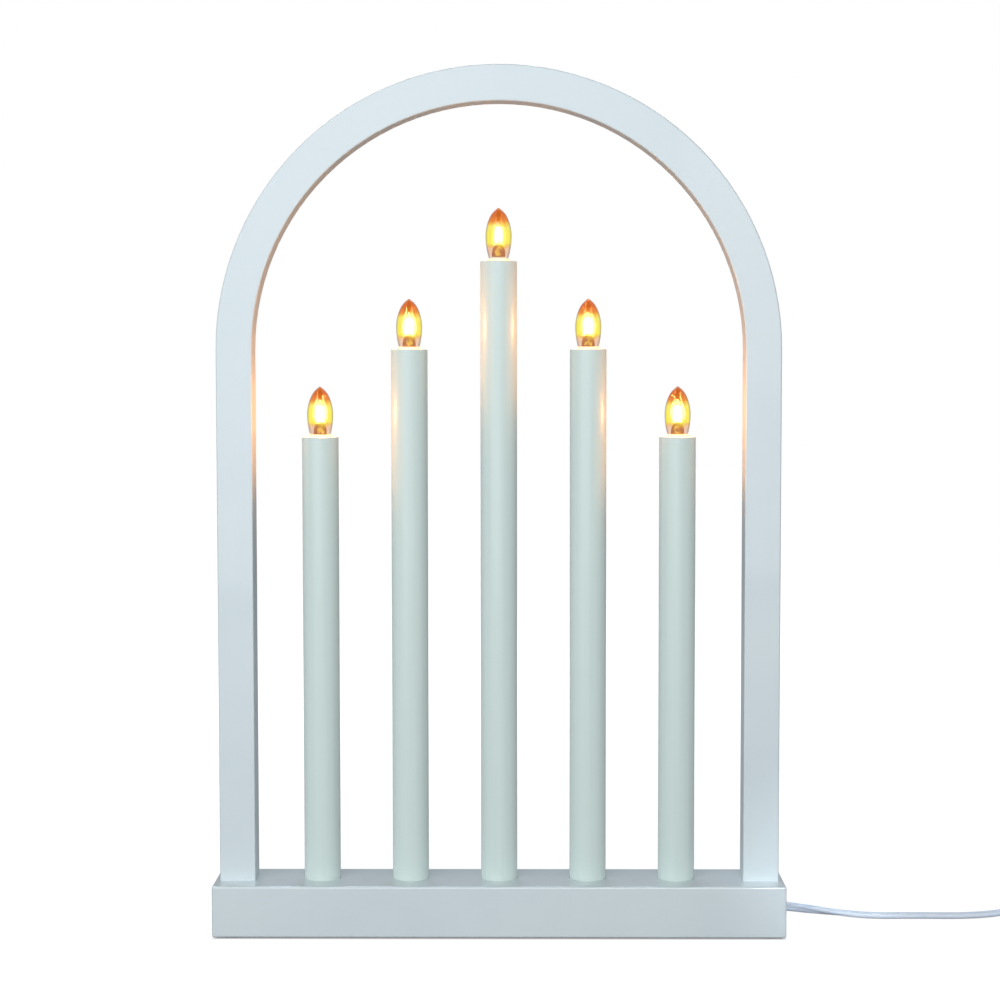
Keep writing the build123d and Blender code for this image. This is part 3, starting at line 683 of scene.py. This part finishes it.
def spun(outline):
    """Spins a half profile of radius and height pairs, in millimetres, round the upright axis."""
    shape = bmesh.new()
    corners = [shape.verts.new((point[0] * MM, 0, point[1] * MM)) for point in outline]
    edges = [shape.edges.new(pair) for pair in zip(corners, corners[1:])]
    bmesh.ops.spin(shape, geom=corners + edges, cent=(0, 0, 0), axis=(0, 0, 1), dvec=(0, 0, 0),
                   angle=2 * math.pi, steps=SPIN_STEPS, use_merge=True, use_duplicate=False)
    bmesh.ops.remove_doubles(shape, verts=shape.verts, dist=SPIN_WELD)
    return shape


def place_lamp_piece(name, shape, number, node):
    """Sets a piece modelled on the axis into one lamp, in place of its solid."""
    spot = Vector((AXES[number], TUBE_ROW, SEATS[number]))
    bmesh.ops.translate(shape, verts=shape.verts, vec=spot)
    piece = link(f"{name}_{number}", finished_mesh(f"{name}_{number}", shape), f"bulb_{number}")
    if node:
        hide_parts(f"{node}_{number}")
    return piece


glass_pieces = {}
for number in TUBES:
    walls = glass_outline(0) + glass_outline(GLASS_WALL)[::-1]
    glass_pieces[number] = place_lamp_piece("lamp_glass", spun(walls), number, "bulb_glass")
print("lamp glass", len(glass_pieces[1].data.polygons), "faces")

# %% [markdown]
# The filament is a fine coil of tungsten in a tall hairpin, held by two leads from the glass stem. It
# is a helix wound round the hairpin's line, with the same sweep as the flex and a section of six
# corners, because it shows as a glowing core a few pixels wide.

# %% Wind the filament
FILAMENT_LOW = 9.5
FILAMENT_HIGH = 19.5
FILAMENT_SPREAD = 1.7
COIL_RADIUS = 0.62
WIRE_RADIUS = 0.16
WINDING_PITCH = 0.62
WIND_STEPS = 9
LEAD_FOOT = 6.3
LEAD_HEAD = 0.8
WIRE_CORNERS = 6
DEEP = Vector((0, 1, 0))


def hairpin(distance):
    """Place and direction on the hairpin, in millimetres, at a distance along it."""
    leg = FILAMENT_HIGH - FILAMENT_SPREAD - FILAMENT_LOW
    bow = math.pi * FILAMENT_SPREAD
    if distance < leg:
        return Vector((-FILAMENT_SPREAD, 0, FILAMENT_LOW + distance)), Vector((0, 0, 1))
    if distance < leg + bow:
        angle = (distance - leg) / FILAMENT_SPREAD
        spot = Vector((-math.cos(angle), 0, math.sin(angle))) * FILAMENT_SPREAD
        return spot + Vector((0, 0, FILAMENT_LOW + leg)), Vector((math.sin(angle), 0, math.cos(angle)))
    left = distance - leg - bow
    return Vector((FILAMENT_SPREAD, 0, FILAMENT_LOW + leg - left)), Vector((0, 0, -1))


def filament_line():
    """A lead, the winding round the hairpin, and the other lead."""
    whole = 2 * (FILAMENT_HIGH - FILAMENT_SPREAD - FILAMENT_LOW) + math.pi * FILAMENT_SPREAD
    turns = round(whole / WINDING_PITCH)
    head = FILAMENT_LOW - LEAD_HEAD
    line = [Vector((-FILAMENT_SPREAD, 0, LEAD_FOOT)), Vector((-FILAMENT_SPREAD, 0, head))]
    for step in range(turns * WIND_STEPS + 1):
        spot, ahead = hairpin(whole * step / (turns * WIND_STEPS))
        angle = 2 * math.pi * step / WIND_STEPS
        across = ahead.cross(DEEP).normalized()
        line.append(spot + (across * math.cos(angle) + DEEP * math.sin(angle)) * COIL_RADIUS)
    line += [Vector((FILAMENT_SPREAD, 0, head)), Vector((FILAMENT_SPREAD, 0, LEAD_FOOT))]
    return [point * MM for point in line]


def wire_side(index, ahead):
    """A side direction that never runs along the wire."""
    return ahead.orthogonal() if abs(ahead.y) > 0.9 else DEEP


wire_ring = [(math.cos(a) * WIRE_RADIUS * MM, math.sin(a) * WIRE_RADIUS * MM)
             for a in (2 * math.pi * corner / WIRE_CORNERS for corner in range(WIRE_CORNERS))]
filament_pieces = {}
for number in TUBES:
    wire = sweep_section(wire_ring, line_frames(filament_line(), wire_side))
    filament_pieces[number] = place_lamp_piece("filament", wire, number, "bulb_filament")
print("filament", len(filament_pieces[1].data.polygons), "faces")

# %% [markdown]
# Two more shapes of glass show inside each lamp. The flare is a little skirt of glass that carries the
# leads and closes in a pinch just under the filament. The stub is what is left of the exhaust tube,
# melted off at the tip. Both are short half profiles, spun.

# %% Spin the flare and the stub
FLARE = [(0, 8.6), (2.0, 8.5), (3.0, 7.8), (3.7, 6.2), (4.1, 4.2), (4.3, 1.0), (3.8, 1.0), (3.6, 3.6),
         (3.1, 5.2), (0, 6.0)]
STUB = [(0, 30.3), (0.8, 30.1), (1.3, 28.6), (1.55, 26.6), (1.45, 25.0), (0.9, 23.8), (0, 23.4)]
flare_pieces = {}
stub_pieces = {}
for number in TUBES:
    flare_pieces[number] = place_lamp_piece("flare", spun(FLARE), number, "bulb_stem")
    stub_pieces[number] = place_lamp_piece("exhaust_stub", spun(STUB), number, None)
print("flare", len(flare_pieces[1].data.polygons), "stub", len(stub_pieces[1].data.polygons), "faces")

# %% [markdown]
# ## Finishes inside the lamps
# Lit from inside, the clear glass reads as layers of colour: nearly clear beside the flare, lemon
# yellow beside the filament, white where one looks straight at it, and orange towards the tip. So the
# glass is part clear and part painted glow: the filament's light is painted on it by height and by how
# squarely it is seen, with a painted reflection of the base in the orange towards the tip, a thin
# painted shade at its edge where thick glass goes dark, and a gloss on top.

# %% Glowing glass
# The filament's light painted on the glass by height; the orange towards the tip also paints a reflection
# of the base.
GLOW_BANDS = [
    (0.00, "#F0CC9C"), (0.05, "#DFA172"), (0.18, "#F0AA64"), (0.23, "#FBC04A"), (0.28, "#FFEF48"),
    (0.52, "#FFF048"), (0.62, "#FFEE60"), (0.67, "#FFCC40"), (0.72, "#F08A22"), (0.84, "#E06A14"),
    (0.95, "#DC6A1E"), (1.00, "#B97A44"),
]
COVER_BANDS = [(0.00, 0.16), (0.19, 0.24), (0.26, 0.50), (0.64, 0.48), (0.72, 0.55), (0.90, 0.57),
               (1.00, 0.66)]
EDGE_WOBBLE = (-0.03, 0.03)
CORE_FACING = (0.02, 0.09)
CORE_STARTS = (0.29, 0.38)
CORE_ENDS = (0.54, 0.64)
RIM_FACING = (0.60, 0.85)
RIM_COVER = (0.0, 0.9)
MIRROR_FACING = (0.5, 1.0)
MIRROR_SHARE = (0.04, 0.25)


def glow_height(material, number):
    """Height in a lamp, 0 at the tube's mouth and 1 at the tip, with an uneven edge."""
    spot = add(material, "Mapping", {"Vector": object_place(material),
                                     "Location": (-AXES[number], -TUBE_ROW, -SEATS[number])})
    split = add(material, "SeparateXYZ", {"Vector": spot.outputs["Vector"]})
    share = span(material, split.outputs["Z"], (0.0, LAMP_RISE * MM), FULL)
    wobble = noise(material, spot.outputs["Vector"], patch_mm=6, detail=1.0)
    return maths(material, "ADD", share, span(material, wobble, NOISE_MIDDLE, EDGE_WOBBLE))


def facing_away(material):
    """0 where a surface is seen squarely and 1 at its edge."""
    return add(material, "LayerWeight", {"Blend": 0.5}).outputs["Facing"]


def glowing_glass(number):
    """Part clear and part painted glow of the filament's light, with a painted white glare in the middle,
    painted shade at the rim and a gloss on top.
    """
    material = bare_material(f"lamp_glass_{number}")
    height = glow_height(material, number)
    bands = ramp(material, height, [(at, linear(code)) for at, code in GLOW_BANDS])
    cover = ramp(material, height, [(at, (share, share, share, 1)) for at, share in COVER_BANDS])
    facing = facing_away(material)
    middle = span(material, facing, CORE_FACING, FALLING)
    above = span(material, height, CORE_STARTS, FULL)
    below = span(material, height, CORE_ENDS, FALLING)
    core = maths(material, "MULTIPLY", middle, maths(material, "MULTIPLY", above, below))
    # The white core is a painted glare of the filament, where the glass is seen squarely.
    white = blend(material, core, bands, linear("#FFFFF2"))
    # The dark rim is painted shade at the glass's edge.
    rim = span(material, facing, RIM_FACING, RIM_COVER)
    outline = blend(material, rim, white, linear("#6E4A28"))
    glow = add(material, "Emission", {"Color": outline, "Strength": 1.0})
    clear = add(material, "BsdfTransparent")
    covered = maths(material, "MAXIMUM", rim, cover)
    body = add(material, "MixShader", {0: covered, 1: clear.outputs[0], 2: glow.outputs[0]})
    gloss = add(material, "BsdfGlossy", {"Roughness": 0.03})
    mirror = span(material, facing, MIRROR_FACING, MIRROR_SHARE)
    to_surface(material, add(material, "MixShader", {0: mirror, 1: body.outputs[0], 2: gloss.outputs[0]}))
    material.cycles.emission_sampling = "NONE"
    return material


for number in TUBES:
    paint(glowing_glass(number), glass_pieces[number])
print("glowing glass on", len(glass_pieces), "lamps")

# %% [markdown]
# The filament glows near white. The flare and the stub are glass with the filament's light painted on
# them, bright where they are seen squarely and with painted shade at their edge, and the cap and the
# socket's shell and contact are thin brass.

# %% Filament, stem and cap
def glowing_metal():
    """Tungsten at white heat."""
    material = new_material("lamp_filament")
    flicker = noise(material, object_place(material), patch_mm=2)
    heat = two_tones(material, flicker, "#FFE7B0", "#FFF6DC", between=FULL)
    shader(material, {"Base Color": linear("#8A8580"), "Metallic": 1.0, "Roughness": 0.4,
                      "Emission Color": heat, "Emission Strength": 6.0})
    material.cycles.emission_sampling = "NONE"
    return material


def lit_glass(name, square_on, edge_on, spot_mm):
    """Thick glass with the filament's light painted on it: bright where it is seen squarely and painted
    shade at its edge.
    """
    material = bare_material(name)
    swirl = noise(material, object_place(material), spot_mm)
    lean = maths(material, "ADD", swirl, facing_away(material))
    tone = two_tones(material, lean, square_on, edge_on, between=(0.50, 0.66))
    to_surface(material, add(material, "Emission", {"Color": tone, "Strength": 1.0}))
    material.cycles.emission_sampling = "NONE"
    return material


def thin_brass(name, code, roughness):
    """Rolled or stamped brass, with fine marks from the tool round it."""
    material = new_material(name)
    place = stretched(material, object_place(material), (1, 1, 12))
    marks = noise(material, place, patch_mm=4, detail=3.0)
    shader(material, {"Base Color": linear(code), "Metallic": 1.0,
                      "Roughness": span(material, marks, FULL, around(roughness, 0.1, 0.15)),
                      "Normal": bumpy(material, marks, depth_mm=0.01, strength=0.4)})
    return material


paint(glowing_metal(), *filament_pieces.values())
paint(lit_glass("lamp_flare", "#FFD046", "#9C4412", 2.5), *flare_pieces.values())
paint(lit_glass("lamp_stub", "#6E3C10", "#5A2A10", 2.0), *stub_pieces.values())
paint(thin_brass("lamp_cap", "#C9B27A", 0.32), *[f"bulb_cap_{number}" for number in TUBES])
paint(thin_brass("brass_shell", "#C8A24E", 0.35), "centre_contacts",
      *[f"socket_shell_{number}" for number in TUBES])
print("filament, flare, stub and brass finished")

# %% [markdown]
# ## Lamp holders
# The holder is moulded in cream plastic that lets some light through. Its lip stands a millimetre
# proud of the tube, and the lamp's light on it is painted as a glow, so it reads as a bright cream ring.

# %% Holder plastic
GLOW_BELOW_MOUTH = 0.003
GLOW_ABOVE_MOUTH = 0.0014
PAINTED_LIP_LIGHT = (0.0, 0.75)


def holder_plastic(number):
    """Cream plastic with the lamp's light painted on it as a glow that grows towards its lip."""
    material = new_material(f"white_holder_{number}")
    place = object_place(material)
    split = add(material, "SeparateXYZ", {"Vector": place})
    lip = around(MOUTHS[number], GLOW_BELOW_MOUTH, GLOW_ABOVE_MOUTH)
    grain = noise(material, place, patch_mm=1.5)
    tone = two_tones(material, grain, "#F2E3BE", "#FBF0D2", between=FULL)
    # The emission is the lamp's light painted on the lip.
    shader(material, {"Base Color": tone, "Roughness": 0.42, "Emission Color": linear("#FFE3A0"),
                      "Emission Strength": span(material, split.outputs["Z"], lip, PAINTED_LIP_LIGHT)})
    material.cycles.emission_sampling = "NONE"
    return material


for number in TUBES:
    paint(holder_plastic(number), f"lamp_holder_{number}")
print("holder plastic on", len(TUBES), "holders")

# %% [markdown]
# ## Flex, plug, switch and the small parts
# The flex is soft PVC with a bluish white and a dull sheen. The plug, the strain relief and the strap
# are the same plastic, moulded, and the switch is harder and glossier. Their moulds leave a fine grain.

# %% Moulded plastics
def moulded(name, light, dark, roughness, grain_mm, grain_depth_mm, coat=0.0):
    """Plastic in two near tones, with the grain of its mould and, if asked, a clear coat."""
    material = new_material(name)
    place = object_place(material)
    patch = noise(material, place, patch_mm=12, detail=3.0)
    grain = noise(material, place, grain_mm)
    shader(material, {"Base Color": two_tones(material, patch, dark, light),
                      "Roughness": span(material, patch, FULL, around(roughness, 0.06, 0.08)),
                      "Normal": bumpy(material, grain, grain_depth_mm, strength=0.5),
                      "Coat Weight": coat, "Coat Roughness": 0.1})
    return material


flex_pvc = moulded("white_flex", "#EAF4FF", "#E2EEFF", 0.42, 0.5, 0.012)
paint(flex_pvc, lead, rest, "inner_flex", "flex_lead", "flex_link", "flex_coil", "flex_tail")
paint(moulded("white_pvc", "#E8EDF3", "#DFE6EE", 0.45, 0.6, 0.015), "strain_relief", "plug_body",
      "coil_tie", strap)
paint(moulded("white_abs", "#EEF0F1", "#E6E9EB", 0.3, 0.4, 0.008, 0.2), "switch_base", "switch_cover",
      "switch_rocker")
paint(moulded("white_nylon", "#E9EBE8", "#E0E3E0", 0.4, 0.5, 0.01), "terminal_block", "cable_block")
paint(moulded("wire_pvc", "#EDEDED", "#E2E2E2", 0.4, 0.5, 0.01), "lamp_wires")
print("flex and moulded parts finished")

# %% [markdown]
# The screws are zinc plated. The plug's pins are nickel plated, and their inner ten millimetres wear
# a white sleeve, which a change of colour along the pins shows.

# %% Metals
PIN_NICKEL = "#C4C0B8"
PIN_SLEEVE = 10.0 * MM
SLEEVE_BLUR = 0.1 * MM


def plated(name, code, roughness):
    """Bright plating over steel or brass, with fine scratches."""
    material = new_material(name)
    scratch = noise(material, object_place(material), patch_mm=1, detail=4.0)
    shader(material, {"Base Color": linear(code), "Metallic": 1.0,
                      "Roughness": span(material, scratch, FULL, around(roughness, 0.08, 0.12))})
    return material


def sleeved_pins():
    """Nickel-plated pins with a white sleeve beside the plug."""
    material = plated("nickel_pin", PIN_NICKEL, 0.2)
    split = add(material, "SeparateXYZ", {"Vector": object_place(material)})
    sleeve_end = around(plug_low.x - PIN_SLEEVE, SLEEVE_BLUR, SLEEVE_BLUR)
    sleeve = span(material, split.outputs["X"], sleeve_end, FULL)
    shader(material, {"Base Color": blend(material, sleeve, linear(PIN_NICKEL), linear("#E6E8EA")),
                      "Metallic": span(material, sleeve, FULL, FALLING)})
    return material


paint(plated("zinc_screw", "#B9BABB", 0.32), "cover_screws", "leg_screws", "cable_block_screws",
      "switch_screws")
paint(sleeved_pins(), "plug_pins")
print("screws and pins finished")

# %% [markdown]
# ## Underside
# The cover is bare brown hardboard, the feet are white felt pads, and the dowels are beech. They show
# only when the lamp is turned over, but they are finished all the same.

# %% Hardboard, felt and beech
def fibrous(name, light, dark, scale, fibre_mm, roughness, depth_mm):
    """Fibres drawn as stretched noise."""
    material = new_material(name)
    fibre = noise(material, stretched(material, object_place(material), scale), fibre_mm, detail=5.0)
    shader(material, {"Base Color": two_tones(material, fibre, dark, light), "Roughness": roughness,
                      "Normal": bumpy(material, fibre, depth_mm, strength=0.7)})
    return material


paint(fibrous("fibreboard", "#8A6A48", "#5E442C", (1, 1, 1), 1.2, 0.85, 0.05), "bottom_cover")
paint(fibrous("white_felt", "#E4E3DF", "#C9C8C3", (1, 1, 1), 0.8, 0.95, 0.1), "felt_feet")
paint(fibrous("beech_dowel", "#C9A071", "#A97F52", (1, 1, 0.08), 1.0, 0.6, 0.03), "leg_dowels")
print("materials", len(bpy.data.materials))

# %% [markdown]
# ## Light and floor
# A large soft light stands in front, a little to the left and above, as in a studio packshot, and a
# weaker one fills from the right: faces that look at the camera are nearly white, and those that look
# up or inwards are greyer. A third hangs high behind, so that the back and the sides aren't dark, and
# a small spot lifts the seen flex. A warm point in each lamp throws the orange tint on the tubes and
# the crown.

# %% Soft lights
AIM = (0, 0, 0.25)
LAMP_GLOW = 0.58
MIDDLE_LAMP_GLOW = 0.10
LAMP_ORANGE = "#FFA65A"


def hang_light(name, kind, place, power, colour, target=None, **settings):
    """A light with its settings at a place, turned to a target if it has one."""
    data = bpy.data.lights.new(name, kind)
    data.energy = power
    data.color = linear(colour)[:3]
    for setting, value in settings.items():
        setattr(data, setting, value)
    lamp = bpy.data.objects.new(name, data)
    lamp.location = place
    if target:
        lamp.rotation_euler = (Vector(target) - Vector(place)).to_track_quat("-Z", "Y").to_euler()
    bpy.context.scene.collection.objects.link(lamp)


hang_light("key_light", "AREA", (-0.40, -1.38, 0.72), 20.7, "#FAFCFF", AIM,
           shape="RECTANGLE", size=1.8, size_y=1.4)
hang_light("fill_light", "AREA", (0.85, -1.6, 0.8), 5.4, "#FFFFFF", AIM,
           shape="RECTANGLE", size=1.4, size_y=1.0)
hang_light("back_light", "AREA", (-0.05, 1.4, 1.25), 12.5, "#DCEEFF", AIM,
           shape="RECTANGLE", size=1.2, size_y=0.5)
hang_light("flex_light", "SPOT", (0.240, -0.25, 0.22), 3.9, "#E8F0FF", (0.200, 0.046, 0),
           spot_size=math.radians(14), spot_blend=1.0, shadow_soft_size=0.05)
for number in TUBES:
    place = (AXES[number], TUBE_ROW, SEATS[number] + WIDEST_HEIGHT * MM)
    power = MIDDLE_LAMP_GLOW if number == 3 else LAMP_GLOW
    hang_light(f"lamp_light_{number}", "POINT", place, power, LAMP_ORANGE, shadow_soft_size=0.006)
print("lights", len(bpy.data.lights))

# %% [markdown]
# The surroundings are white to the eye but give little light. The floor is a pale sheet, and what the
# camera sees of it is lifted to white, except where the lamp shades it. Under the base the lift is cut
# by place, which paints a dark line of shadow along the contact.

# %% White surroundings and a floor that keeps the shadow
MIRRORED_WHITE = 0.25
WORLD_LIGHT = 0.08
CONTACT_FADE = (-3.0 * MM, 0.8 * MM)
CONTACT_LIFT = 0.3
FLOOR_REACH = 6.0
FLOOR_FADE = (0.25, 0.9)
FLOOR_LIFT = (0.87, 1.0)


def seen_directly(material):
    """1 for the camera's rays and those through glass, and less for those off a glossy surface."""
    path = add(material, "LightPath").outputs
    gloss = maths(material, "MULTIPLY", path["Is Glossy Ray"], MIRRORED_WHITE)
    most = maths(material, "MAXIMUM", path["Is Camera Ray"], gloss)
    return maths(material, "MAXIMUM", most, path["Is Transmission Ray"])


def white_world():
    """Surroundings that look white but light the lamp only a little."""
    world = bpy.data.worlds.new("studio")
    world.use_nodes = True
    bpy.context.scene.world = world
    level = span(world, seen_directly(world), FULL, (WORLD_LIGHT, 1.0))
    feed(world, world.node_tree.nodes["Background"], {"Strength": level, "Color": linear("#FFFFFF")})


def outside_base(material, place):
    """Low well under the base block and 1 just outside it, which paints a shadow along the line of contact.
    """
    low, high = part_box("base_block")
    split = add(material, "SeparateXYZ", {"Vector": place}).outputs
    sideways = maths(material, "SUBTRACT", maths(material, "ABSOLUTE", split["X"]), high.x)
    endways = maths(material, "SUBTRACT", maths(material, "ABSOLUTE", split["Y"]), high.y)
    clear = maths(material, "MAXIMUM", sideways, endways)
    # Cutting the lift under the base paints the contact shadow.
    return span(material, clear, CONTACT_FADE, (CONTACT_LIFT, 1.0))


def floor_paint():
    """A dull pale sheet, with light added where the camera looks at it."""
    material = bare_material("pale_sheet")
    sheet = add(material, "BsdfDiffuse", {"Color": linear("#969696")})
    place = object_place(material)
    away = add(material, "VectorMath", {0: place}, operation="LENGTH").outputs["Value"]
    level = span(material, away, FLOOR_FADE, FLOOR_LIFT)
    shown_level = maths(material, "MULTIPLY", level, outside_base(material, place))
    lift = add(material, "Emission", {"Color": linear("#FFFFFF"), "Strength": shown_level})
    shown = add(material, "AddShader", {0: sheet.outputs[0], 1: lift.outputs[0]})
    to_surface(material, add(material, "MixShader", {0: seen_directly(material), 1: sheet.outputs[0],
                                                     2: shown.outputs[0]}))
    return material


def lay_floor():
    """The sheet that the lamp stands on, which is part of the stage and not of the lamp."""
    shape = bmesh.new()
    bmesh.ops.create_grid(shape, x_segments=8, y_segments=8, size=FLOOR_REACH)
    floor = bpy.data.objects.new("floor", finished_mesh("floor", shape, smooth=False))
    bpy.context.scene.collection.objects.link(floor)
    paint(floor_paint(), floor)


white_world()
lay_floor()
bpy.context.scene.view_settings.view_transform = "Standard"
print("world", bpy.context.scene.world.name, "and floor", 2 * FLOOR_REACH, "m wide")
